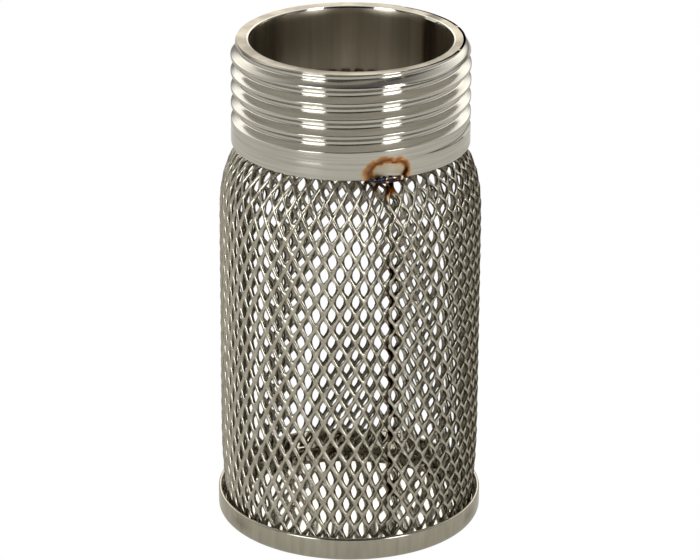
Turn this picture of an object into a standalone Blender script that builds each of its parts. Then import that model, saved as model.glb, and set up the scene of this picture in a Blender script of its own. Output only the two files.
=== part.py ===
"""Suction strainer of a foot valve: a threaded stainless nipple, a rolled expanded-metal sleeve
tucked into its bore, a pressed bottom cap, and the welds that hold the three together.

Metres, +Z up. The origin is on the axis, at the underside of the bottom cap. Azimuths are measured
from the front (-Y) towards +X.
"""

import math

import bmesh
import bpy
from mathutils import Matrix, Vector

MM = 0.001
TURN = 2 * math.pi

# Heights of the stack, from the underside of the cap
COLLAR_BOTTOM = 56.1 * MM
TOP = 71.0 * MM

# Nipple: parallel pipe thread G 1, 11 threads to the inch, 55 degree form
THREAD_R = 33.249 / 2 * MM
THREAD_PITCH = 25.4 / 11 * MM
THREAD_DEPTH = 0.640327 * THREAD_PITCH
THREAD_FLANK = math.radians(55 / 2)
THREAD_FLAT = THREAD_PITCH / 6  # width of the truncated crest, and of the groove's floor
THREAD_TURNS = 6
THREAD_START = (math.radians(20), 59.0 * MM)  # azimuth and height where the groove begins
THREAD_FADE = 0.4  # turns over which the groove deepens from nothing
GROOVE_OVERRUN = 0.3 * MM  # how far the groove's cutter stands proud of the crests
BORE_R = 14.1 * MM
TOP_FACE_R = 15.4 * MM
LEAD_IN = 1.6 * MM  # height of the bevel that leads the thread in
EDGE_BREAK = 0.15 * MM  # small chamfer on turned edges

# Sleeve: expanded metal, each opening here standing for about 2.5 by 2.5 real ones
OPENINGS_AROUND = 20
DIAMOND_ASPECT = 3.9 / 2.24  # long diagonal over short diagonal
STRAND_SHARE = 0.37  # part of the pitch between strands that is metal
SNAP = 0.2 * MM  # a bend this near to a corner of the mesh goes through the corner
SLEEVE_T = 0.6 * MM
SLEEVE_MID_R = 18.0 * MM
LAP_STEP = 1.1 * MM  # how far the inner flap is pressed in under the outer flap
SEAM_AZIMUTH = math.radians(20.6)  # middle of the lap

# Cap: pressed cup
CAP_R = 18.8 * MM
CAP_T = 0.5 * MM
CAP_HEIGHT = 3.5 * MM
CAP_CORNER_R = 1.0 * MM

# Welds
NECK_WELD_AZIMUTHS = [math.radians(a) for a in (18, 105, 238)]
NECK_WELD_SIZE = (6.4 * MM, 1.9 * MM, 2.6 * MM)  # around, in and out, up
NECK_WELD_R = 16.1 * MM
NECK_WELD_Z = 55.7 * MM
CAP_WELD_AZIMUTHS = [math.radians(a) for a in (66, 185, 305)]
CAP_WELD_R = 1.2 * MM
CAP_WELD_T = 0.2 * MM
SEAM_WELDS = 9
SEAM_WELD_FIRST = 10.6 * MM  # height of the lowest
SEAM_WELD_PITCH = 4.05 * MM  # the long diagonal of the real mesh
SEAM_WELD_R = 0.7 * MM
SEAM_WELD_T = 0.2 * MM
WELD_GAP = 0.25 * MM  # clear space between a weld and the pieces it joins

ROUND_STEPS = 60
GROOVE_STEPS = 40  # per turn

# Middle surface of the sleeve, (radius, height) from the bottom edge to the one inside the bore
SLEEVE_PROFILE = [
    (17.3 * MM, 0.9 * MM),
    (17.4 * MM, 3.0 * MM),
    (SLEEVE_MID_R, 8.0 * MM),
    (SLEEVE_MID_R, 47.0 * MM),
    (17.6 * MM, 50.5 * MM),
    (15.8 * MM, 54.6 * MM),
    (13.3 * MM, 55.0 * MM),
    (13.3 * MM, 61.6 * MM),
]


def clear_scene():
    for obj in list(bpy.data.objects):
        bpy.data.objects.remove(obj)


def new_collection(name, hidden=False):
    collection = bpy.data.collections.new(name)
    bpy.context.scene.collection.children.link(collection)
    collection.hide_render = hidden
    return collection


def new_material(name, color, roughness):
    material = bpy.data.materials.new(name)
    material.use_nodes = True
    shader = material.node_tree.nodes["Principled BSDF"]
    shader.inputs["Base Color"].default_value = (*color, 1)
    shader.inputs["Metallic"].default_value = 1
    shader.inputs["Roughness"].default_value = roughness
    return material


def object_from(bm, name, collection, material=None):
    """A smooth-shaded object that holds this bmesh."""
    mesh = bpy.data.meshes.new(name)
    bm.to_mesh(mesh)
    bm.free()
    mesh.shade_smooth()
    mesh.set_sharp_from_angle(angle=math.radians(30))
    obj = bpy.data.objects.new(name, mesh)
    collection.objects.link(obj)
    if material:
        mesh.materials.append(material)
    return obj


def make_cutter(obj):
    obj.hide_render = True
    obj.display_type = "WIRE"
    return obj


def subtract(obj, cutter):
    modifier = obj.modifiers.new(cutter.name, "BOOLEAN")
    modifier.operation = "DIFFERENCE"
    modifier.solver = "EXACT"
    modifier.object = cutter


def turned(name, outline, collection, material=None, closed=True):
    """An outline of (radius, height) points, swept round the axis. It runs down the outer side."""
    bm = bmesh.new()
    verts = [bm.verts.new((r, 0, z)) for r, z in outline]
    ends = list(zip(verts, verts[1:]))
    if closed:
        ends.append((verts[-1], verts[0]))
    for a, b in ends:
        bm.edges.new((a, b))
    obj = object_from(bm, name, collection, material)
    screw = obj.modifiers.new("turn", "SCREW")
    screw.steps = screw.render_steps = ROUND_STEPS
    screw.use_merge_vertices = True
    screw.merge_threshold = 0.00001
    return obj


def azimuth_turn(azimuth):
    return Matrix.Rotation(azimuth, 4, "Z")


def arc(centre_r, centre_z, radius, start, end, steps):
    """Points of an arc in the (radius, height) plane. Angles run from +radius towards +height."""
    angles = [start + (end - start) * i / steps for i in range(steps + 1)]
    return [(centre_r + radius * math.cos(a), centre_z + radius * math.sin(a)) for a in angles]


def nipple_outline():
    return [
        (TOP_FACE_R, TOP),
        (THREAD_R, TOP - LEAD_IN),
        (THREAD_R, COLLAR_BOTTOM + EDGE_BREAK),
        (THREAD_R - EDGE_BREAK, COLLAR_BOTTOM),
        (BORE_R + EDGE_BREAK, COLLAR_BOTTOM),
        (BORE_R, COLLAR_BOTTOM + EDGE_BREAK),
        (BORE_R, TOP - EDGE_BREAK),
        (BORE_R + EDGE_BREAK, TOP),
    ]


def thread_groove(collection):
    """The cutter of the thread: the groove's outline, carried up a right-hand helix."""
    floor_r = THREAD_R - THREAD_DEPTH
    brim_r = THREAD_R + GROOVE_OVERRUN
    floor_half = THREAD_FLAT / 2
    brim_half = floor_half + (brim_r - floor_r) * math.tan(THREAD_FLANK)
    outline = [(floor_r, -floor_half), (brim_r, -brim_half), (brim_r, brim_half), (floor_r, floor_half)]
    bm = bmesh.new()
    azimuth, height = THREAD_START
    start = azimuth_turn(azimuth) @ Matrix.Translation((0, 0, height))
    face = bm.faces.new([bm.verts.new(start @ Vector((0, -r, z))) for r, z in outline])
    bmesh.ops.spin(
        bm,
        geom=[face, *face.edges, *face.verts],
        axis=(0, 0, 1),
        cent=(0, 0, 0),
        dvec=(0, 0, THREAD_PITCH / GROOVE_STEPS),
        angle=THREAD_TURNS * TURN,
        steps=THREAD_TURNS * GROOVE_STEPS,
    )
    for index, vert in enumerate(bm.verts):
        turns = index // len(outline) / GROOVE_STEPS
        rise = THREAD_DEPTH * max(0, 1 - turns / THREAD_FADE)
        vert.co += rise * Vector((vert.co.x, vert.co.y, 0)).normalized()
    bmesh.ops.recalc_face_normals(bm, faces=bm.faces)
    return make_cutter(object_from(bm, "thread_groove", collection))


def make_nipple(parts, cutters, material):
    nipple = turned("threaded_nipple", nipple_outline(), parts, material)
    subtract(nipple, thread_groove(cutters))
    return nipple


def profile_normals():
    """Outward mitre at each point of the sleeve's profile: one unit of it moves both lines by one."""
    points = [Vector(p) for p in SLEEVE_PROFILE]
    lines = [(b - a).normalized() for a, b in zip(points, points[1:])]
    sides = [Vector((line.y, -line.x)) for line in lines]
    mitres = [sides[0]]
    for before, after in zip(sides, sides[1:]):
        mitres.append((before + after) / (1 + before.dot(after)))
    return [*mitres, sides[-1]]


def profile_lengths():
    """Distance along the sleeve's profile of each of its points."""
    lengths = [0]
    for a, b in zip(SLEEVE_PROFILE, SLEEVE_PROFILE[1:]):
        lengths.append(lengths[-1] + math.dist(a, b))
    return lengths


def sleeve_place(along, inward):
    """(radius, height) this far along the sleeve's profile, and this far in from it."""
    lengths, normals = profile_lengths(), profile_normals()
    at = 0
    while at < len(lengths) - 2 and along > lengths[at + 1]:
        at += 1
    share = (along - lengths[at]) / (lengths[at + 1] - lengths[at])
    low, high = (Vector(SLEEVE_PROFILE[i]) - inward * normals[i] for i in (at, at + 1))
    return low.lerp(high, share)


def trim(bm, point, outward):
    geometry = [*bm.verts, *bm.edges, *bm.faces]
    bmesh.ops.bisect_plane(
        bm, geom=geometry, dist=1e-6, plane_co=point, plane_no=outward, clear_outer=True
    )


def diamond_sheet(width, height, short, long, strand):
    """A flat sheet of diamond openings, long way up, with its lower left corner at the origin."""
    cells = 2 * math.ceil((width / short + height / long) / 2 + 1)
    side = 1 / cells
    bm = bmesh.new()
    bmesh.ops.create_grid(bm, x_segments=cells, y_segments=cells, size=0.5)
    bmesh.ops.rotate(bm, verts=bm.verts, matrix=Matrix.Rotation(TURN / 8, 3, "Z"))
    diagonal = side * math.sqrt(2)
    bmesh.ops.scale(bm, verts=bm.verts, vec=(short / diagonal, long / diagonal, 1))
    # The grid's centre goes to a crossing inside the sheet, so that all four edges cut on crossings
    centre = Vector((round(width / short / 2) * short, round(height / long / 2) * long, 0))
    bmesh.ops.translate(bm, verts=bm.verts, vec=centre)
    trim(bm, (0, 0, 0), (-1, 0, 0))
    trim(bm, (width, 0, 0), (1, 0, 0))
    trim(bm, (0, 0, 0), (0, -1, 0))
    trim(bm, (0, height, 0), (0, 1, 0))
    # The quarter diamonds at the corners are too small to open
    openings = [f for f in bm.faces if f.calc_area() > 0.3 * short * long / 2]
    bmesh.ops.inset_individual(bm, faces=openings, thickness=strand / 2, use_even_offset=True)
    bmesh.ops.delete(bm, geom=openings, context="FACES")
    return bm


def make_sleeve(parts, material):
    """The expanded metal, rolled to more than a full turn, its last flap pressed in under its first."""
    lengths = profile_lengths()
    short = TURN * SLEEVE_MID_R / OPENINGS_AROUND
    long = short * DIAMOND_ASPECT
    lap = short / 2
    width = OPENINGS_AROUND * short + lap
    rows = round(lengths[-1] / (long / 2))
    stretch = lengths[-1] / (rows * long / 2)
    pitch = short * long / math.hypot(short, long)
    bm = diamond_sheet(width, rows * long / 2, short, long, STRAND_SHARE * pitch)
    bmesh.ops.scale(bm, verts=bm.verts, vec=(1, stretch, 1))
    for bend in lengths[4:7]:
        geometry = [*bm.verts, *bm.edges, *bm.faces]
        bmesh.ops.bisect_plane(bm, geom=geometry, dist=SNAP, plane_co=(0, bend, 0), plane_no=(0, 1, 0))
    for vert in bm.verts:
        across, along = vert.co.x, vert.co.y
        pressed = min(1, max(0, 1 - (width - lap - across) / short))
        radius, height = sleeve_place(along, LAP_STEP * pressed)
        azimuth = SEAM_AZIMUTH + (across - lap / 2) / SLEEVE_MID_R
        vert.co = azimuth_turn(azimuth) @ Vector((0, -radius, height))
    bmesh.ops.recalc_face_normals(bm, faces=bm.faces)
    sleeve = object_from(bm, "mesh_sleeve", parts, material)
    wall = sleeve.modifiers.new("wall", "SOLIDIFY")
    wall.thickness = SLEEVE_T
    wall.offset = 0
    wall.use_even_offset = True
    return sleeve


def cap_outline():
    """The pressed cup: from the middle of its floor up over the rim, and down outside to the centre."""
    corner = (CAP_R - CAP_CORNER_R, CAP_CORNER_R)
    inner = arc(*corner, CAP_CORNER_R - CAP_T, -TURN / 4, 0, 2)
    outer = arc(*corner, CAP_CORNER_R, 0, -TURN / 4, 4)
    rim = [(CAP_R - CAP_T, CAP_HEIGHT), (CAP_R, CAP_HEIGHT)]
    return [(0, CAP_T), *inner, *rim, *outer, (0, 0)]


def weld_nugget(name, radius, thickness, place, azimuth, parts, material):
    """A flat round nugget between two sheets, facing out from the axis at this azimuth."""
    bm = bmesh.new()
    bmesh.ops.create_uvsphere(bm, u_segments=8, v_segments=4, radius=1)
    bmesh.ops.scale(bm, verts=bm.verts, vec=(radius, thickness / 2, radius))
    obj = object_from(bm, name, parts, material)
    obj.matrix_world = azimuth_turn(azimuth) @ Matrix.Translation((0, -place[0], place[1]))
    return obj


def make_neck_welds(parts, cutters, material):
    """Beads in the corner under the collar, kept clear of the collar and of the sleeve's shoulder."""
    collar_r = THREAD_R + WELD_GAP
    half = SLEEVE_T / 2 + WELD_GAP
    shoulder = [(r + half, z + half) for r, z in SLEEVE_PROFILE[3:6]]
    top = COLLAR_BOTTOM + NECK_WELD_SIZE[2]
    outline = [
        (0, top),
        (collar_r, top),
        (collar_r, COLLAR_BOTTOM - WELD_GAP),
        (shoulder[-1][0], COLLAR_BOTTOM - WELD_GAP),
        *reversed(shoulder),
        (0, shoulder[0][1]),
    ]
    room = make_cutter(turned("neck_weld_room", outline, cutters, closed=False))
    for number, azimuth in enumerate(NECK_WELD_AZIMUTHS, 1):
        bm = bmesh.new()
        bmesh.ops.create_uvsphere(bm, u_segments=16, v_segments=10, radius=0.5)
        bmesh.ops.scale(bm, verts=bm.verts, vec=NECK_WELD_SIZE)
        place = azimuth_turn(azimuth) @ Matrix.Translation((0, -NECK_WELD_R, NECK_WELD_Z))
        bmesh.ops.transform(bm, verts=bm.verts, matrix=place)
        bead = object_from(bm, f"neck_weld_{number}", parts, material)
        subtract(bead, room)


def make_cap_welds(parts, material):
    r = (CAP_R - CAP_T + SLEEVE_PROFILE[1][0] + SLEEVE_T / 2) / 2
    for number, azimuth in enumerate(CAP_WELD_AZIMUTHS, 1):
        name = f"cap_weld_{number}"
        place = (r, (CAP_HEIGHT + CAP_T) / 2)
        weld_nugget(name, CAP_WELD_R, CAP_WELD_T, place, azimuth, parts, material)


def make_seam_welds(parts, material):
    r = SLEEVE_MID_R - LAP_STEP / 2
    for number in range(SEAM_WELDS):
        place = (r, SEAM_WELD_FIRST + number * SEAM_WELD_PITCH)
        name = f"seam_weld_{number + 1:02d}"
        weld_nugget(name, SEAM_WELD_R, SEAM_WELD_T, place, SEAM_AZIMUTH, parts, material)


def main():
    clear_scene()
    parts = new_collection("suction_strainer")
    cutters = new_collection("cutters", hidden=True)
    turned_steel = new_material("turned stainless steel", (0.62, 0.61, 0.58), 0.25)
    mesh_steel = new_material("expanded stainless steel", (0.42, 0.40, 0.35), 0.4)
    pressed_steel = new_material("pressed stainless steel", (0.60, 0.59, 0.56), 0.28)
    weld_steel = new_material("heat-tinted weld", (0.35, 0.20, 0.08), 0.4)
    make_nipple(parts, cutters, turned_steel)
    make_sleeve(parts, mesh_steel)
    turned("bottom_cap", cap_outline(), parts, pressed_steel, closed=False)
    make_neck_welds(parts, cutters, weld_steel)
    make_cap_welds(parts, weld_steel)
    make_seam_welds(parts, weld_steel)


main()
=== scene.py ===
"""Looks of a foot valve's suction strainer: turned nipple, mesh sleeve, pressed cap and welds.

Metres, +Z up the axis, -Y the front. Azimuths run from the front towards +X.
"""

import math

import bmesh
import bpy
from mathutils import Matrix, Quaternion, Vector, noise


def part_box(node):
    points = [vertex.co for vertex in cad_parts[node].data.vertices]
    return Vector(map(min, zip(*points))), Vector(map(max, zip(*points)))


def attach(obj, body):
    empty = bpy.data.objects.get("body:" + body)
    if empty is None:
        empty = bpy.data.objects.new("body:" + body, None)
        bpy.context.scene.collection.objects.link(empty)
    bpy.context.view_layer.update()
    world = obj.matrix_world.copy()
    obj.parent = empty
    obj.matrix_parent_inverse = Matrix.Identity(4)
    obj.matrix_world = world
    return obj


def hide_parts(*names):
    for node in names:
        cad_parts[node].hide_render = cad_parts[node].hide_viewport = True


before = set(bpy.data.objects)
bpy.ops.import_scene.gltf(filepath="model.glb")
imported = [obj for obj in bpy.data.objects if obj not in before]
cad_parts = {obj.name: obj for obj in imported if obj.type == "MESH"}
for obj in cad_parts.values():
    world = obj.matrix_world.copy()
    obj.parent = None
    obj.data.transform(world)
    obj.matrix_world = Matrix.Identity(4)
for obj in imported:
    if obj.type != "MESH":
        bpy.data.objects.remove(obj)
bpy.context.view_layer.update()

MM = 0.001
TURN = 2 * math.pi
SAME_PLACE = 0.005 * MM  # points closer than this are one point
SAME_HEIGHT = 0.01 * MM

nipple_low, nipple_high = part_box("threaded_nipple")
cap_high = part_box("bottom_cap")[1]

# Nipple
COLLAR_BOTTOM = nipple_low.z
TOP = nipple_high.z
THREAD_R = nipple_high.x
BORE_R = 14.1 * MM
TOP_FACE_R = 15.8 * MM
TOP_FACE_ROUNDING = 0.1 * MM
LEAD_IN = 1.6 * MM  # height of the bevel between the top face and the thread's crests
THREAD_PITCH = 25.4 / 11 * MM
THREAD_DEPTH = 1.2 * MM
THREAD_FLANK = math.radians(55 / 2)
THREAD_CREST = 0.4 * MM
CREST_ROUNDING = 0.1 * MM
ROOT_ROUNDING = 0.3 * MM
FLANK_ROWS = (0.12 * MM, 0.26 * MM, 0.4 * MM, 0.62 * MM)  # rows of points, from a groove's middle
CREST_ROWS = (-0.06 * MM, -0.02 * MM, 0.02 * MM, 0.06 * MM)  # and from a crest's edge
GROOVES = range(-3, 7)  # pitches from THREAD_START, past both ends of the nipple
THREAD_START = (math.radians(20), 59.0 * MM)  # azimuth and height where the groove begins
THREAD_FADE = 0.4  # turns over which it deepens
EDGE_BREAK = 0.15 * MM
WALL_STEPS = 240
BORE_ROWS = 12
BORE_SEAM_AZIMUTH = math.radians(128)
BORE_SEAM_WIDTH = 2.6 * MM
BORE_SEAM_HEIGHT = 0.14 * MM
BORE_SEAM_RIPPLE = (0.5, 1.2 * MM)  # how far its height varies, and over what length

# Sleeve, at the real mesh size
OPENINGS_AROUND = 51
SLEEVE_R = 18.0 * MM  # middle of the sheet
OPENING_LONG = 4.05 * MM  # from crossing to crossing, upright
OPENING_AT = (math.radians(3.03), 30.84 * MM)  # azimuth and height of one opening's centre
OPENING_CLEAR = (1.48 * MM, 3.2 * MM)
LEFT_SWELL, RIGHT_SWELL = 1.8, 1.1  # how round an opening's sides are, 1 being straight
STRAND_CROWN = 0.08 * MM  # how far a strand's middle stands proud of a flat slope
STRAND_LEAN = 0.05  # how far it lies to the left, as a share of an opening's spacing
STRAND_INSET = 0.3 * MM  # before the openings get their own outline
SHEET_T = 0.32 * MM
LOUVRE = 0.21 * MM  # how far each strand's edges are turned out and in
# At the back the sheet is stretched a little more, and its rows have slipped. The change comes
# where the cosine of the azimuth falls from the first of these by the second
BACK_BLEND = (0.35, 0.9)
BACK_STRETCH = (0.0506, 0.0203)  # round and up
BACK_SLIP = (math.radians(1.6), -0.41 * MM)  # round and up
BACK_LEAN = -0.0155  # how far it leans over
LAP_START = math.radians(17.1)
LAP_END = math.radians(24.2)
LAP_STEP = 0.55 * MM  # how far the inner flap lies under the outer one
LAP_EASE = 4 * MM  # the length over which it goes under
LAP_SLIP = (-0.42 * MM, -0.3 * MM)  # and how far it has slipped, round and up

# Cap
CAP_R = cap_high.x
CAP_HEIGHT = cap_high.z
CAP_T = 0.5 * MM
CAP_CORNER_R = 1.0 * MM
CAP_FLOOR_RING_R = 8 * MM

# Welds, their sizes across, in and out, and up
NECK_BEAD = (5.6 * MM, 1.5 * MM, 1.4 * MM)
NECK_BEAD_R = 16.1 * MM
NECK_BEAD_RISE = 0.1 * MM  # above the collar's lower edge
CAP_NUGGET = (2 * MM, 0.7 * MM, 1.6 * MM)
SEAM_SPOT = (0.7 * MM, 0.5 * MM, 0.9 * MM)
WELD_LUMPS = 0.25  # how uneven a weld is, as a share of its size
NECK_WELDS = ["neck_weld_1", "neck_weld_2", "neck_weld_3"]
CAP_WELDS = ["cap_weld_1", "cap_weld_2", "cap_weld_3"]
SEAM_WELDS = sorted(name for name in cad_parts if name.startswith("seam_weld_"))

# Middle of the sheet up its height, (radius, height); a smooth curve goes through the points
SLEEVE_PROFILE = [
    (17.35 * MM, 0.9 * MM),
    (17.5 * MM, 3.6 * MM),
    (17.85 * MM, 8.0 * MM),
    (SLEEVE_R, 14.0 * MM),
    (SLEEVE_R, 30.0 * MM),
    (SLEEVE_R, 45.0 * MM),
    (17.82 * MM, 49.0 * MM),
    (17.25 * MM, 51.7 * MM),
    (16.3 * MM, 53.9 * MM),
    (15.0 * MM, 55.2 * MM),
    (13.9 * MM, 55.9 * MM),
    (13.55 * MM, 57.2 * MM),
    (13.5 * MM, 59.5 * MM),
    (13.45 * MM, 61.4 * MM),
]
PROFILE_STEPS = 8  # between two of the points

# Studio
FOCAL_LENGTH = 185.35  # on a sensor 36 mm wide
CAMERA_ELEVATION = math.radians(22.3)
CAMERA_DISTANCE = 509 * MM
CAMERA_LEAN = math.radians(0.28)
LOOK_AT = Vector((0, 0, 35 * MM))
SOFTBOX_DISTANCE = 0.55
SOFTBOX_HEIGHT = 0.8
SOFTBOX_SPREAD = math.radians(70)
WORLD_BRIGHTNESS = 2.0
FLOOR_GLOW = 0.38


def azimuth_of(point):
    return math.atan2(point.x, -point.y)


def weld_place(name):
    """The middle of a weld's CAD node, and its azimuth."""
    low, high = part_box(name)
    middle = (low + high) / 2
    return middle, azimuth_of(middle)


def azimuth_turn(azimuth):
    return Matrix.Rotation(azimuth, 4, "Z")


def smooth(share):
    share = min(1, max(0, share))
    return share * share * (3 - 2 * share)


def rounded_min(a, b, rounding):
    """The smaller of two lengths, with the corner between them rounded off."""
    near = max(rounding - abs(a - b), 0) / rounding
    return min(a, b) - near * near * rounding / 4


def set_radius(vert, radius):
    """Moves a point in or out to this distance from the axis."""
    flat = Vector((vert.co.x, vert.co.y)).normalized() * radius
    vert.co.x, vert.co.y = flat


def finish_piece(bm, name, nodes, materials, sharp=35):
    """The finished piece, riding on the part's one body and standing for these CAD nodes."""
    mesh = bpy.data.meshes.new(name)
    bm.to_mesh(mesh)
    bm.free()
    mesh.shade_smooth()
    mesh.set_sharp_from_angle(angle=math.radians(sharp))
    for material in materials:
        mesh.materials.append(material)
    piece = bpy.data.objects.new(name, mesh)
    bpy.context.scene.collection.objects.link(piece)
    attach(piece, "root")
    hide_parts(*nodes)
    return piece


# Materials


def colour(code):
    """An sRGB hex colour as linear red, green, blue and alpha."""
    shares = [int(code[i : i + 2], 16) / 255 for i in (1, 3, 5)]
    return (*[c / 12.92 if c <= 0.04045 else ((c + 0.055) / 1.055) ** 2.4 for c in shares], 1)


def add(tree, kind, inputs=None, stops=None, **settings):
    """A new node. An input is a value or another node's output; stops fill a colour ramp."""
    made = tree.nodes.new("ShaderNode" + kind)
    for name, value in settings.items():
        setattr(made, name, value)
    for name, value in (inputs or {}).items():
        if isinstance(value, bpy.types.NodeSocket):
            tree.links.new(value, made.inputs[name])
        else:
            made.inputs[name].default_value = value
    if stops:
        elements = made.color_ramp.elements
        while len(elements) < len(stops):
            elements.new(1)
        for element, (position, shade) in zip(elements, stops):
            element.position = position
            element.color = colour(shade)
    return made


def new_metal(name, roughness):
    """A metal's material, its tree, its shader and the place on the piece."""
    material = bpy.data.materials.new(name)
    material.use_nodes = True
    tree = material.node_tree
    shader = tree.nodes["Principled BSDF"]
    shader.inputs["Metallic"].default_value = 1
    shader.inputs["Roughness"].default_value = roughness
    place = add(tree, "TexCoord").outputs["Object"]
    return material, tree, shader, place


def spot(tree, place, centre, azimuth, halves):
    """Distance from this centre, as a share of the half sizes: across, in and out, up."""
    local = add(
        tree,
        "Mapping",
        {"Vector": place, "Location": centre, "Rotation": (0, 0, azimuth), "Scale": halves},
        vector_type="TEXTURE",
    )
    return add(tree, "VectorMath", {0: local.outputs[0]}, operation="LENGTH").outputs["Value"]


def wavering(tree, place, reach, wave):
    """The place, moved about by up to this reach, so that a tint's edge wavers."""
    noise_there = add(tree, "TexNoise", {"Vector": place, "Scale": 1 / wave, "Detail": 2})
    moved = add(
        tree,
        "VectorMath",
        {0: noise_there.outputs["Color"], 1: (2 * reach, 2 * reach, 2 * reach), 2: place},
        operation="MULTIPLY_ADD",
    )
    centred = add(
        tree,
        "VectorMath",
        {0: moved.outputs[0], 1: (reach, reach, reach)},
        operation="SUBTRACT",
    )
    return centred.outputs[0]


def heat_tint(tree, base, distance, stops, shares):
    """Base colour with a tint over it: its colours and its strength, as stops by distance."""
    tint = add(tree, "ValToRGB", {0: distance}, stops=stops)
    strength = add(tree, "ValToRGB", {0: distance}, stops=shares)
    mixed = add(
        tree,
        "Mix",
        {"Factor": strength.outputs[0], "A": base, "B": tint.outputs[0]},
        data_type="RGBA",
        blend_type="MIX",
    )
    return mixed.outputs["Result"]


def link_colour(tree, shader, base):
    tree.links.new(base, shader.inputs["Base Color"])


def turned_stainless():
    """Stainless steel, turned: bright, ringed finely by the tool, oxide colours round the tacks."""
    material, tree, shader, place = new_metal("turned stainless steel", 0.2)
    # The tool feeds about 0.2 mm a turn. The rings are drawn at 0.4 mm so that they show, and
    # change only slowly round the axis
    rings_place = add(tree, "Mapping", {"Vector": place, "Scale": (60, 60, 1 / (0.4 * MM))})
    rings = add(
        tree,
        "TexNoise",
        {"Vector": rings_place.outputs[0], "Scale": 1, "Detail": 3, "Roughness": 0.7},
    )
    tone = add(
        tree, "ValToRGB", {0: rings.outputs["Fac"]}, stops=[(0.3, "#bfbcb4"), (0.7, "#dbd9d2")]
    )
    base = tone.outputs[0]
    near = wavering(tree, place, 0.7 * MM, 1.6 * MM)
    halo = [
        (0, "#b7a988"),
        (0.56, "#b89850"),
        (0.66, "#a05c08"),
        (0.75, "#642e04"),
        (0.87, "#bc7206"),
        (1, "#f0bc40"),
    ]
    halo_shares = [
        (0, "#707070"),
        (0.56, "#b0b0b0"),
        (0.66, "#ffffff"),
        (0.9, "#e0e0e0"),
        (1, "#000000"),
    ]
    scorch = [(0, "#160c05"), (0.6, "#3a1c06"), (1, "#8a5410")]
    scorch_shares = [(0, "#ffffff"), (0.5, "#f0f0f0"), (1, "#000000")]
    for name in NECK_WELDS:
        azimuth = weld_place(name)[1]
        # A ring of colour round the tack, and a burnt patch at each of its ends. Each has its
        # place across and above the collar's lower edge, and its half sizes
        for across, up, halves, colours, shares in (
            (0, 0.9 * MM, (3.7 * MM, 4 * MM, 2.7 * MM), halo, halo_shares),
            (-1.5 * MM, 0.4 * MM, (1.7 * MM, 4 * MM, 0.9 * MM), scorch, scorch_shares),
            (2.5 * MM, 0.7 * MM, (0.7 * MM, 4 * MM, 1.2 * MM), scorch, scorch_shares),
        ):
            centre = azimuth_turn(azimuth) @ Vector((across, -THREAD_R, COLLAR_BOTTOM + up))
            distance = spot(tree, near, centre, azimuth, halves)
            base = heat_tint(tree, base, distance, colours, shares)
    link_colour(tree, shader, base)
    rough = add(
        tree, "MapRange", {"Value": rings.outputs["Fac"], "To Min": 0.08, "To Max": 0.2}
    )
    tree.links.new(rough.outputs[0], shader.inputs["Roughness"])
    shader.inputs["Anisotropic"].default_value = 0.8
    shader.inputs["Anisotropic Rotation"].default_value = 0.25
    around = add(tree, "Tangent", direction_type="RADIAL", axis="Z")
    tree.links.new(around.outputs[0], shader.inputs["Tangent"])
    bump = add(
        tree, "Bump", {"Height": rings.outputs["Fac"], "Strength": 0.5, "Distance": 0.015 * MM}
    )
    tree.links.new(bump.outputs[0], shader.inputs["Normal"])
    return material


def drawn_bore():
    """Welded stainless tube, dull and dark along its weld; its olive tone is painted shade, in the bore
    and on the end face.
    """
    material, tree, shader, place = new_metal("welded tube bore with painted shade", 0.3)
    # Long stripes up the tube, about 4 mm wide and some 15 times as long, are painted reflections of
    # its far wall
    bands_place = add(tree, "Mapping", {"Vector": place, "Scale": (1, 1, 0.06)})
    bands = add(
        tree, "TexNoise", {"Vector": bands_place.outputs[0], "Scale": 1 / (4 * MM), "Detail": 4}
    )
    # Painted shade: this tone is darker than the turned steel outside
    tone = add(
        tree, "ValToRGB", {0: bands.outputs["Fac"]}, stops=[(0.35, "#958c7b"), (0.65, "#c8bfae")]
    )
    centre = azimuth_turn(BORE_SEAM_AZIMUTH) @ Vector((0, -BORE_R, (TOP + COLLAR_BOTTOM) / 2))
    halves = (0.8 * BORE_SEAM_WIDTH, 3 * MM, 30 * MM)
    distance = spot(tree, place, centre, BORE_SEAM_AZIMUTH, halves)
    base = heat_tint(
        tree,
        tone.outputs[0],
        distance,
        [(0, "#20140c"), (0.6, "#2c1a0e"), (1, "#6a5a48")],
        [(0, "#e6e6e6"), (0.6, "#cccccc"), (1, "#000000")],
    )
    link_colour(tree, shader, base)
    return material


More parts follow.
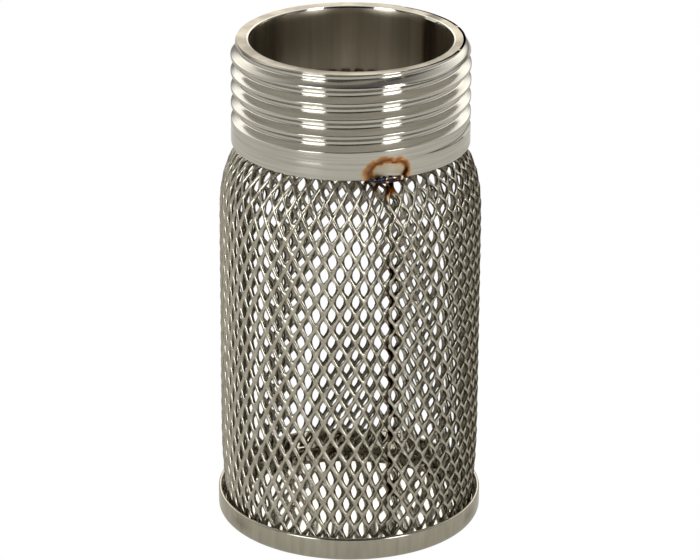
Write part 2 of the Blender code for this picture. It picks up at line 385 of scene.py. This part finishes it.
def expanded_stainless():
    """Stainless sheet, slit and stretched: satin, a little mottled, browned where welded, painted shade
    on the seam's inner flap.
    """
    material, tree, shader, place = new_metal("expanded stainless steel", 0.3)
    mottle = add(tree, "TexNoise", {"Vector": place, "Scale": 1 / (1.5 * MM), "Detail": 4})
    tone = add(
        tree, "ValToRGB", {0: mottle.outputs["Fac"]}, stops=[(0.3, "#aea99a"), (0.7, "#d0cbbe")]
    )
    base = tone.outputs[0]
    near = wavering(tree, place, 0.4 * MM, 1.0 * MM)
    scorch = [(0, "#120b06"), (0.4, "#3a1c06"), (0.65, "#a0560c"), (0.9, "#d09a40")]
    scorch_shares = [(0, "#ffffff"), (0.6, "#ffffff"), (0.85, "#b0b0b0"), (1, "#000000")]
    scorch_halves = (2.9 * MM, 3 * MM, 2.4 * MM)
    for name in NECK_WELDS:
        middle, azimuth = weld_place(name)
        distance = spot(tree, near, middle, azimuth, scorch_halves)
        base = heat_tint(tree, base, distance, scorch, scorch_shares)
    # Along the seam the inner flap is darkened, partly weld tint and partly painted shade where it lies
    # under the outer flap; the outer one is out of the spots' reach
    soot = [(0, "#0c0704"), (0.75, "#1c0f06"), (0.95, "#6a3a10")]
    soot_shares = [(0, "#ffffff"), (0.8, "#ffffff"), (1, "#000000")]
    soot_halves = (2.2 * MM, 0.9 * MM, 2.3 * MM)
    soot_r = SLEEVE_R - 0.9 * MM
    for name in SEAM_WELDS:
        middle, azimuth = weld_place(name)
        centre = azimuth_turn(azimuth) @ Vector((0, -soot_r, middle.z))
        distance = spot(tree, near, centre, azimuth, soot_halves)
        base = heat_tint(tree, base, distance, soot, soot_shares)
    link_colour(tree, shader, base)
    rough = add(
        tree, "MapRange", {"Value": mottle.outputs["Fac"], "To Min": 0.2, "To Max": 0.36}
    )
    tree.links.new(rough.outputs[0], shader.inputs["Roughness"])
    # The rolls leave a grain of about 0.05 mm, drawn coarser so that it shows
    grain = add(tree, "TexNoise", {"Vector": place, "Scale": 1 / (0.25 * MM), "Detail": 2})
    bump = add(
        tree, "Bump", {"Height": grain.outputs["Fac"], "Strength": 0.4, "Distance": 0.01 * MM}
    )
    tree.links.new(bump.outputs[0], shader.inputs["Normal"])
    return material


def sheared_stainless():
    """The same sheet's slit edges: torn by the knife, so rougher than its rolled faces, and painted
    dark as the shade they lie in.
    """
    material, tree, shader, place = new_metal("sheared edge with painted shade", 0.38)
    grain = add(tree, "TexNoise", {"Vector": place, "Scale": 1 / (0.3 * MM), "Detail": 2})
    # Painted shade: the edges' dark tone stands for the shade on them
    tone = add(
        tree, "ValToRGB", {0: grain.outputs["Fac"]}, stops=[(0.3, "#3c372c"), (0.7, "#6e6858")]
    )
    link_colour(tree, shader, tone.outputs[0])
    return material


def pressed_stainless():
    """Cold-rolled stainless sheet, deep drawn: nearly a mirror, with faint draw marks up its wall."""
    material, tree, shader, place = new_metal("pressed stainless steel", 0.16)
    # Draw marks are about 0.1 mm wide, drawn at 0.8 mm so that they show, and run up the wall
    marks_place = add(tree, "Mapping", {"Vector": place, "Scale": (1, 1, 0.15)})
    marks = add(
        tree, "TexNoise", {"Vector": marks_place.outputs[0], "Scale": 1 / (0.8 * MM), "Detail": 3}
    )
    tone = add(
        tree, "ValToRGB", {0: marks.outputs["Fac"]}, stops=[(0.3, "#b0ac9e"), (0.7, "#c0bcae")]
    )
    base = tone.outputs[0]
    near = wavering(tree, place, 0.8 * MM, 1.5 * MM)
    for name in CAP_WELDS:
        azimuth = weld_place(name)[1]
        centre = azimuth_turn(azimuth) @ Vector((0, -CAP_R, 0.6 * CAP_HEIGHT))
        distance = spot(tree, near, centre, azimuth, (3 * MM, 2 * MM, 1.5 * MM))
        base = heat_tint(
            tree,
            base,
            distance,
            [(0, "#57493a"), (0.6, "#6f6351"), (1, "#968b76")],
            [(0, "#c0c0c0"), (1, "#000000")],
        )
    link_colour(tree, shader, base)
    rough = add(tree, "MapRange", {"Value": marks.outputs["Fac"], "To Min": 0.1, "To Max": 0.22})
    tree.links.new(rough.outputs[0], shader.inputs["Roughness"])
    bump = add(
        tree, "Bump", {"Height": marks.outputs["Fac"], "Strength": 0.1, "Distance": 0.01 * MM}
    )
    tree.links.new(bump.outputs[0], shader.inputs["Normal"])
    return material


def bright_rolled_stainless():
    """The cap's floor inside, untouched by the press: the sheet's bright rolled finish, a mirror."""
    material, tree, shader, place = new_metal("bright rolled stainless steel", 0.04)
    haze = add(tree, "TexNoise", {"Vector": place, "Scale": 1 / (5 * MM), "Detail": 3})
    tone = add(
        tree, "ValToRGB", {0: haze.outputs["Fac"]}, stops=[(0.3, "#d2cfc7"), (0.7, "#e4e2dc")]
    )
    link_colour(tree, shader, tone.outputs[0])
    rough = add(tree, "MapRange", {"Value": haze.outputs["Fac"], "To Min": 0.02, "To Max": 0.07})
    tree.links.new(rough.outputs[0], shader.inputs["Roughness"])
    return material


def burnt_weld():
    """A spot weld squeezed between two sheets: flat, scaled over and nearly black."""
    material, tree, shader, place = new_metal("burnt spot weld", 0.5)
    scale_skin = add(tree, "TexNoise", {"Vector": place, "Scale": 1 / (0.5 * MM), "Detail": 3})
    tone = add(
        tree,
        "ValToRGB",
        {0: scale_skin.outputs["Fac"]},
        stops=[(0.35, "#120c08"), (0.65, "#4a2a12")],
    )
    link_colour(tree, shader, tone.outputs[0])
    return material


def tinted_weld():
    """Stainless weld left unpickled: a lumpy skin of brown, blue and black, and cream that is pale
    straw and painted highlight.
    """
    material, tree, shader, place = new_metal("heat-tinted weld", 0.35)
    skin = add(tree, "TexNoise", {"Vector": place, "Scale": 1 / (0.6 * MM), "Detail": 3})
    tone = add(
        tree,
        "ValToRGB",
        {0: skin.outputs["Fac"]},
        stops=[
            (0.32, "#17110d"),
            (0.42, "#3a5470"),
            (0.48, "#1c120c"),
            (0.56, "#7a4212"),
            # Pale straw tint, its cream also a painted highlight
            (0.64, "#efe6d0"),
        ],
    )
    link_colour(tree, shader, tone.outputs[0])
    bump = add(
        tree, "Bump", {"Height": skin.outputs["Fac"], "Strength": 0.6, "Distance": 0.1 * MM}
    )
    tree.links.new(bump.outputs[0], shader.inputs["Normal"])
    return material


# Nipple


def thread_cut(azimuth, height):
    """Depth of the thread's groove at this place on the wall."""
    start_azimuth, start_height = THREAD_START
    turns = (azimuth - start_azimuth) % TURN / TURN
    along = (height - start_height) / THREAD_PITCH - turns
    groove = round(along)
    off = abs(along - groove) * THREAD_PITCH
    half_opening = (THREAD_PITCH - THREAD_CREST) / 2
    flank = (half_opening - off) / math.tan(THREAD_FLANK)
    rise = THREAD_DEPTH * (1 - smooth((groove + turns) / THREAD_FADE))
    cut = rounded_min(flank, THREAD_DEPTH, ROOT_ROUNDING) - rise
    return -rounded_min(-cut, 0, CREST_ROUNDING)


def wall_heights():
    """Heights of the thread's rows at azimuth 0: on every crest edge, flank and groove floor."""
    half_opening = (THREAD_PITCH - THREAD_CREST) / 2
    side = [*FLANK_ROWS, *[half_opening + off for off in CREST_ROWS]]
    offsets = [-THREAD_PITCH / 2, *[-off for off in reversed(side)], 0, *side]
    start_azimuth, start_height = THREAD_START
    first = start_height - THREAD_PITCH * start_azimuth / TURN
    return [first + THREAD_PITCH * groove + offset for groove in GROOVES for offset in offsets]


def trim(bm, point, outward):
    """Cuts away what lies past the plane through this point."""
    bmesh.ops.bisect_plane(
        bm,
        geom=[*bm.verts, *bm.edges, *bm.faces],
        dist=0.001 * MM,
        plane_co=point,
        plane_no=outward,
        clear_outer=True,
    )


def carry_ring(bm, ring, radius, height):
    """Carries a ring of edges on to a new radius and height, with faces between."""
    made = bmesh.ops.extrude_edge_only(bm, edges=ring)["geom"]
    for vert in made:
        if isinstance(vert, bmesh.types.BMVert):
            set_radius(vert, radius)
            vert.co.z = height
    return [edge for edge in made if isinstance(edge, bmesh.types.BMEdge)]


def open_ring(bm, height):
    """The open edges that lie at this height."""
    return [
        edge
        for edge in bm.edges
        if edge.is_boundary and all(abs(v.co.z - height) < SAME_HEIGHT for v in edge.verts)
    ]


def make_nipple(outside, bore):
    """A column of points is spun up one pitch of thread, trimmed, cut to the thread's form, and
    carried over the top face and down the bore."""
    bm = bmesh.new()
    column = [bm.verts.new((0, -THREAD_R, z)) for z in wall_heights()]
    wires = [bm.edges.new(pair) for pair in zip(column, column[1:])]
    bmesh.ops.spin(
        bm,
        geom=[*column, *wires],
        axis=(0, 0, 1),
        cent=(0, 0, 0),
        dvec=(0, 0, THREAD_PITCH / WALL_STEPS),
        angle=TURN,
        steps=WALL_STEPS,
    )
    bmesh.ops.remove_doubles(bm, verts=bm.verts, dist=SAME_PLACE)
    trim(bm, (0, 0, TOP), (0, 0, 1))
    trim(bm, (0, 0, COLLAR_BOTTOM + EDGE_BREAK), (0, 0, -1))
    bmesh.ops.remove_doubles(bm, verts=bm.verts, dist=SAME_PLACE)
    slope = (THREAD_R - TOP_FACE_R) / LEAD_IN
    for vert in bm.verts:
        wall = THREAD_R - thread_cut(azimuth_of(vert.co), vert.co.z)
        cone = TOP_FACE_R + (TOP - vert.co.z) * slope
        set_radius(vert, rounded_min(wall, cone, TOP_FACE_ROUNDING))
    top, bottom = open_ring(bm, TOP), open_ring(bm, COLLAR_BOTTOM + EDGE_BREAK)
    # A narrow ring at its rim keeps the top face's shading flat, and the bore's edge is broken
    # in two steps
    top = carry_ring(bm, top, TOP_FACE_R - 0.02 * MM, TOP)
    top = carry_ring(bm, top, BORE_R + 2 * EDGE_BREAK, TOP)
    top = carry_ring(bm, top, BORE_R + 0.6 * EDGE_BREAK, TOP - 0.4 * EDGE_BREAK)
    for row in range(BORE_ROWS + 1):
        share = row / BORE_ROWS
        height = (TOP - 2 * EDGE_BREAK) * (1 - share) + (COLLAR_BOTTOM + EDGE_BREAK) * share
        top = carry_ring(bm, top, BORE_R, height)
        for vert in {v for e in top for v in e.verts}:
            away = (azimuth_of(vert.co) - BORE_SEAM_AZIMUTH) * BORE_R / (BORE_SEAM_WIDTH / 2)
            ripple = 1 + BORE_SEAM_RIPPLE[0] * noise.noise(vert.co / BORE_SEAM_RIPPLE[1])
            bead = BORE_SEAM_HEIGHT * ripple * math.sqrt(max(0, 1 - away * away))
            set_radius(vert, BORE_R - bead)
    bottom = carry_ring(bm, bottom, THREAD_R - EDGE_BREAK, COLLAR_BOTTOM)
    bottom = carry_ring(bm, bottom, BORE_R + EDGE_BREAK, COLLAR_BOTTOM)
    bmesh.ops.bridge_loops(bm, edges=[*top, *bottom])
    bmesh.ops.recalc_face_normals(bm, faces=bm.faces)
    # The bore and the top face take the bore metal, whose darker tone is painted shade
    for face in bm.faces:
        in_bore = all(v.co.xy.length < BORE_R + 0.5 * EDGE_BREAK for v in face.verts)
        on_top = all(v.co.z > TOP - SAME_HEIGHT for v in face.verts)
        face.material_index = int(in_bore or on_top)
    return finish_piece(bm, "turned_nipple", ["threaded_nipple"], [outside, bore])


# Sleeve


def smooth_profile():
    """The sleeve's profile as a smooth line of points, a curve through each pair and its neighbours."""
    points = [Vector(p) for p in SLEEVE_PROFILE]
    points = [2 * points[0] - points[1], *points, 2 * points[-1] - points[-2]]
    line = []
    for a, b, c, d in zip(points, points[1:], points[2:], points[3:]):
        for step in range(PROFILE_STEPS):
            t = step / PROFILE_STEPS
            line.append(
                b
                + 0.5 * t * (c - a)
                + 0.5 * t * t * (2 * a - 5 * b + 4 * c - d)
                + 0.5 * t * t * t * (3 * b - a - 3 * c + d)
            )
    return [*line, points[-2]]


def profile_walk(line):
    """The distance along the profile of each of its points, and the place and outward normal there."""
    lengths = [0]
    for a, b in zip(line, line[1:]):
        lengths.append(lengths[-1] + (b - a).length)

    def walk(along):
        at = 0
        while at < len(line) - 2 and along > lengths[at + 1]:
            at += 1
        run = line[at + 1] - line[at]
        point = line[at] + run * ((along - lengths[at]) / (lengths[at + 1] - lengths[at]))
        return point, Vector((run.y, -run.x)).normalized()

    return walk, lengths


def opened_sheet(width, height, opening):
    """A flat sheet, one of whose openings has its centre here, warped as the back of the sleeve is."""
    short = TURN * SLEEVE_R / OPENINGS_AROUND
    cells = 2 * math.ceil((width / short + height / OPENING_LONG) / 2 + 2)
    bm = bmesh.new()
    bmesh.ops.create_grid(bm, x_segments=cells, y_segments=cells, size=0.5)
    bmesh.ops.rotate(bm, verts=bm.verts, matrix=Matrix.Rotation(TURN / 8, 3, "Z"))
    diagonal = math.sqrt(2) / cells
    bmesh.ops.scale(bm, verts=bm.verts, vec=(short / diagonal, OPENING_LONG / diagonal, 1))
    # The grid's middle is a crossing, half an opening to the side of an opening's centre
    columns = round((width / 2 - opening[0]) / short)
    rows = round((height / 2 - opening[1]) / OPENING_LONG)
    middle = (opening[0] + (columns + 0.5) * short, opening[1] + rows * OPENING_LONG, 0)
    bmesh.ops.translate(bm, verts=bm.verts, vec=middle)
    margin = OPENING_LONG
    outside = [
        f
        for f in bm.faces
        if not (
            -margin < f.calc_center_median().x < width + margin
            and -margin < f.calc_center_median().y < height + margin
        )
    ]
    bmesh.ops.delete(bm, geom=outside, context="FACES")
    crossings = set(bm.verts)
    bmesh.ops.subdivide_edges(bm, edges=bm.edges, cuts=2)
    middles = [v for v in bm.verts if v not in crossings]
    bmesh.ops.translate(bm, verts=middles, vec=(-STRAND_LEAN * short, 0, STRAND_CROWN))
    openings = list(bm.faces)
    bmesh.ops.inset_individual(bm, faces=openings, thickness=STRAND_INSET, use_even_offset=True)
    for face in openings:
        low_x, high_x = (end(v.co.x for v in face.verts) for end in (min, max))
        low_y, high_y = (end(v.co.y for v in face.verts) for end in (min, max))
        centre = Vector(((low_x + high_x) / 2 + STRAND_LEAN * short, (low_y + high_y) / 2, 0))
        for vert in face.verts:
            up = (vert.co.y - centre.y) * 2 / (high_y - low_y)
            swell = LEFT_SWELL if vert.co.x < centre.x else RIGHT_SWELL
            side = math.copysign(1 - min(1, abs(up)) ** swell, vert.co.x - centre.x)
            across, upright = OPENING_CLEAR
            vert.co = centre + Vector((side * across / 2, up * upright / 2, side * LOUVRE))
    bmesh.ops.delete(bm, geom=openings, context="FACES")
    for vert in bm.verts:
        azimuth = LAP_START + vert.co.x / SLEEVE_R
        behind = smooth((BACK_BLEND[0] - math.cos(azimuth)) / BACK_BLEND[1])
        turned = azimuth - TURN / 2
        rise = vert.co.y - opening[1]
        vert.co.x += behind * SLEEVE_R * (BACK_SLIP[0] + BACK_STRETCH[0] * turned)
        vert.co.x += behind * BACK_LEAN * rise
        vert.co.y += behind * (BACK_SLIP[1] + BACK_STRETCH[1] * rise)
    trim(bm, (0, 0, 0), (-1, 0, 0))
    trim(bm, (width, 0, 0), (1, 0, 0))
    trim(bm, (0, 0, 0), (0, -1, 0))
    trim(bm, (0, height, 0), (0, 1, 0))
    return bm


def make_sleeve(face_metal, edge_metal):
    """The flat sheet is rolled on to the profile, its far end tucked under, and given its wall."""
    line = smooth_profile()
    walk, lengths = profile_walk(line)
    width = SLEEVE_R * (TURN + LAP_END - LAP_START)
    nearest = min(range(len(line)), key=lambda at: abs(line[at].y - OPENING_AT[1]))
    opening = (
        (OPENING_AT[0] - LAP_START) % TURN * SLEEVE_R,
        lengths[nearest] + OPENING_AT[1] - line[nearest].y,
    )
    bm = opened_sheet(width, lengths[-1], opening)
    for vert in bm.verts:
        across, along, out = vert.co
        tucked = smooth(1 - (width - SLEEVE_R * (LAP_END - LAP_START) - across) / LAP_EASE)
        point, normal = walk(along)
        place = point + normal * (out - LAP_STEP * tucked)
        azimuth = LAP_START + (across + LAP_SLIP[0] * tucked) / SLEEVE_R
        vert.co = azimuth_turn(azimuth) @ Vector((0, -place.x, place.y + LAP_SLIP[1] * tucked))
    bmesh.ops.recalc_face_normals(bm, faces=bm.faces)
    metals = [face_metal, edge_metal]
    # The strands' edges are soft, so none is marked sharp
    sleeve = finish_piece(
        bm, "expanded_sleeve", ["mesh_sleeve"], metals, sharp=180
    )
    wall = sleeve.modifiers.new("wall", "SOLIDIFY")
    wall.thickness = SHEET_T
    wall.offset = 0
    wall.use_even_offset = True
    # The wall's rims take the edge metal with its painted shade
    wall.material_offset_rim = 1
    return sleeve


# Cap


def arc(centre, radius, start, end, steps):
    """Points of an arc, (radius, height)."""
    angles = [start + (end - start) * i / steps for i in range(steps + 1)]
    return [(centre[0] + radius * math.cos(a), centre[1] + radius * math.sin(a)) for a in angles]


def make_cap(outside, floor):
    """The cup's outline, from its floor inside over the lip to its underside, spun once round."""
    corner = (CAP_R - CAP_CORNER_R, CAP_CORNER_R)
    lip = CAP_T / 2
    outline = [
        (0, CAP_T),
        (CAP_FLOOR_RING_R, CAP_T),
        *arc(corner, CAP_CORNER_R - CAP_T, -TURN / 4, 0, 5),
        *arc((CAP_R - lip, CAP_HEIGHT - lip), lip, TURN / 2, 0, 6),
        *arc(corner, CAP_CORNER_R, 0, -TURN / 4, 8),
        (CAP_FLOOR_RING_R, 0),
        (0, 0),
    ]
    bm = bmesh.new()
    verts = [bm.verts.new((0, -r, z)) for r, z in outline]
    wires = [bm.edges.new(pair) for pair in zip(verts, verts[1:])]
    bmesh.ops.spin(
        bm,
        geom=[*verts, *wires],
        axis=(0, 0, 1),
        cent=(0, 0, 0),
        angle=TURN,
        steps=WALL_STEPS,
        use_merge=True,
    )
    bmesh.ops.remove_doubles(bm, verts=bm.verts, dist=SAME_PLACE)
    bmesh.ops.recalc_face_normals(bm, faces=bm.faces)
    for face in bm.faces:
        face.material_index = int(all(abs(v.co.z - CAP_T) < SAME_HEIGHT for v in face.verts))
    return finish_piece(bm, "pressed_cup", ["bottom_cap"], [outside, floor])


# Welds


def lumpy_bead(name, sizes, centre, azimuth, nodes, material):
    """A bead of weld with an uneven skin, its sizes across, in and out, and up."""
    bm = bmesh.new()
    bmesh.ops.create_icosphere(bm, subdivisions=4, radius=0.5)
    for vert in bm.verts:
        vert.co *= 1 + WELD_LUMPS * noise.noise(vert.co * 3 + centre / MM)
    bmesh.ops.scale(bm, verts=bm.verts, vec=sizes)
    bmesh.ops.rotate(bm, verts=bm.verts, matrix=azimuth_turn(azimuth).to_3x3())
    bmesh.ops.translate(bm, verts=bm.verts, vec=centre)
    return finish_piece(bm, name, nodes, [material])


def make_welds(material, burnt):
    """Beads at the neck, nuggets through the cap's rim, and flat spots between the seam's flaps."""
    for name in NECK_WELDS:
        azimuth = weld_place(name)[1]
        rise = COLLAR_BOTTOM + NECK_BEAD_RISE
        centre = azimuth_turn(azimuth) @ Vector((0, -NECK_BEAD_R, rise))
        lumpy_bead(f"{name}_bead", NECK_BEAD, centre, azimuth, [name], material)
    for name in CAP_WELDS:
        centre, azimuth = weld_place(name)
        lumpy_bead(f"{name}_nugget", CAP_NUGGET, centre, azimuth, [name], material)
    for name in SEAM_WELDS:
        middle, azimuth = weld_place(name)
        centre = azimuth_turn(azimuth) @ Vector((0, -SLEEVE_R + LAP_STEP / 2, middle.z))
        lumpy_bead(f"{name}_spot", SEAM_SPOT, centre, azimuth, [name], burnt)


# Studio


def make_camera():
    data = bpy.data.cameras.new("camera")
    data.sensor_width = 36
    data.lens = FOCAL_LENGTH
    camera = bpy.data.objects.new("camera", data)
    bpy.context.scene.collection.objects.link(camera)
    back = Vector((0, -math.cos(CAMERA_ELEVATION), math.sin(CAMERA_ELEVATION)))
    camera.location = LOOK_AT + CAMERA_DISTANCE * back
    camera.rotation_mode = "QUATERNION"
    lean = Quaternion((0, 0, 1), CAMERA_LEAN)
    camera.rotation_quaternion = (-back).to_track_quat("-Z", "Y") @ lean
    bpy.context.scene.camera = camera


def softbox(name, azimuth, width, brightness):
    """An upright soft light that stands on the floor and faces the object."""
    light = bpy.data.lights.new(name, "AREA")
    light.shape = "RECTANGLE"
    light.size = width
    light.size_y = SOFTBOX_HEIGHT
    light.spread = SOFTBOX_SPREAD
    light.energy = brightness * math.pi * width * SOFTBOX_HEIGHT
    lamp = bpy.data.objects.new(name, light)
    centre = Vector((0, -SOFTBOX_DISTANCE, SOFTBOX_HEIGHT / 2))
    upright = Matrix.Translation(centre) @ Matrix.Rotation(TURN / 4, 4, "X")
    lamp.matrix_world = azimuth_turn(azimuth) @ upright
    bpy.context.scene.collection.objects.link(lamp)


def make_world():
    """A room that is bright behind the object, dim overhead and dark on the camera's side."""
    world = bpy.data.worlds.new("studio")
    world.use_nodes = True
    tree = world.node_tree
    background = tree.nodes["Background"]
    background.inputs["Color"].default_value = colour("#f4f1ea")
    apart = add(tree, "SeparateXYZ", {0: add(tree, "TexCoord").outputs["Generated"]})
    # From the camera's side to the far wall
    depth = add(
        tree,
        "ValToRGB",
        {0: add(tree, "MapRange", {"Value": apart.outputs["Y"], "From Min": -1}).outputs[0]},
        stops=[
            (0.05, "#161616"),
            (0.14, "#5c5c5c"),
            (0.28, "#7c7c7c"),
            (0.5, "#bcbcbc"),
            (0.8, "#e6e6e6"),
            (0.97, "#ffffff"),
        ],
    )
    # From the floor to overhead
    height = add(
        tree,
        "ValToRGB",
        {0: apart.outputs["Z"]},
        stops=[
            (0, "#606060"),
            (0.14, "#7c7c7c"),
            (0.33, "#ffffff"),
            (0.45, "#ffffff"),
            (1, "#585858"),
        ],
    )
    bright = add(tree, "Math", {0: height.outputs[0], 1: WORLD_BRIGHTNESS}, operation="MULTIPLY")
    glow = add(tree, "Math", {0: depth.outputs[0], 1: bright.outputs[0]}, operation="MULTIPLY")
    tree.links.new(glow.outputs[0], background.inputs["Strength"])
    bpy.context.scene.world = world


def make_floor():
    """A plain pale floor. Seen directly it is a lit white sheet, so it shows no shadow."""
    material = bpy.data.materials.new("pale floor")
    material.use_nodes = True
    tree = material.node_tree
    shader = tree.nodes["Principled BSDF"]
    shader.inputs["Base Color"].default_value = colour("#bab8b2")
    shader.inputs["Emission Color"].default_value = colour("#f6f4ee")
    shader.inputs["Emission Strength"].default_value = FLOOR_GLOW
    shader.inputs["Roughness"].default_value = 0.9
    shader.inputs["Specular IOR Level"].default_value = 0
    lit = add(tree, "Emission", {"Color": (1, 1, 1, 1), "Strength": 1.0})
    seen = add(tree, "LightPath").outputs["Is Camera Ray"]
    either = add(tree, "MixShader", {0: seen, 1: shader.outputs[0], 2: lit.outputs[0]})
    tree.links.new(either.outputs[0], tree.nodes["Material Output"].inputs["Surface"])
    bm = bmesh.new()
    bmesh.ops.create_grid(bm, x_segments=1, y_segments=1, size=2)
    mesh = bpy.data.meshes.new("floor")
    bm.to_mesh(mesh)
    bm.free()
    mesh.materials.append(material)
    floor = bpy.data.objects.new("floor", mesh)
    bpy.context.scene.collection.objects.link(floor)


def make_studio():
    bpy.context.scene.view_settings.view_transform = "Standard"
    make_world()
    make_floor()
    softbox("left softbox", math.radians(-38), 0.22, 1.0)
    softbox("right softbox", math.radians(41), 0.17, 1.1)


make_camera()
make_studio()
make_nipple(turned_stainless(), drawn_bore())
make_sleeve(expanded_stainless(), sheared_stainless())
make_cap(pressed_stainless(), bright_rolled_stainless())
make_welds(tinted_weld(), burnt_weld())
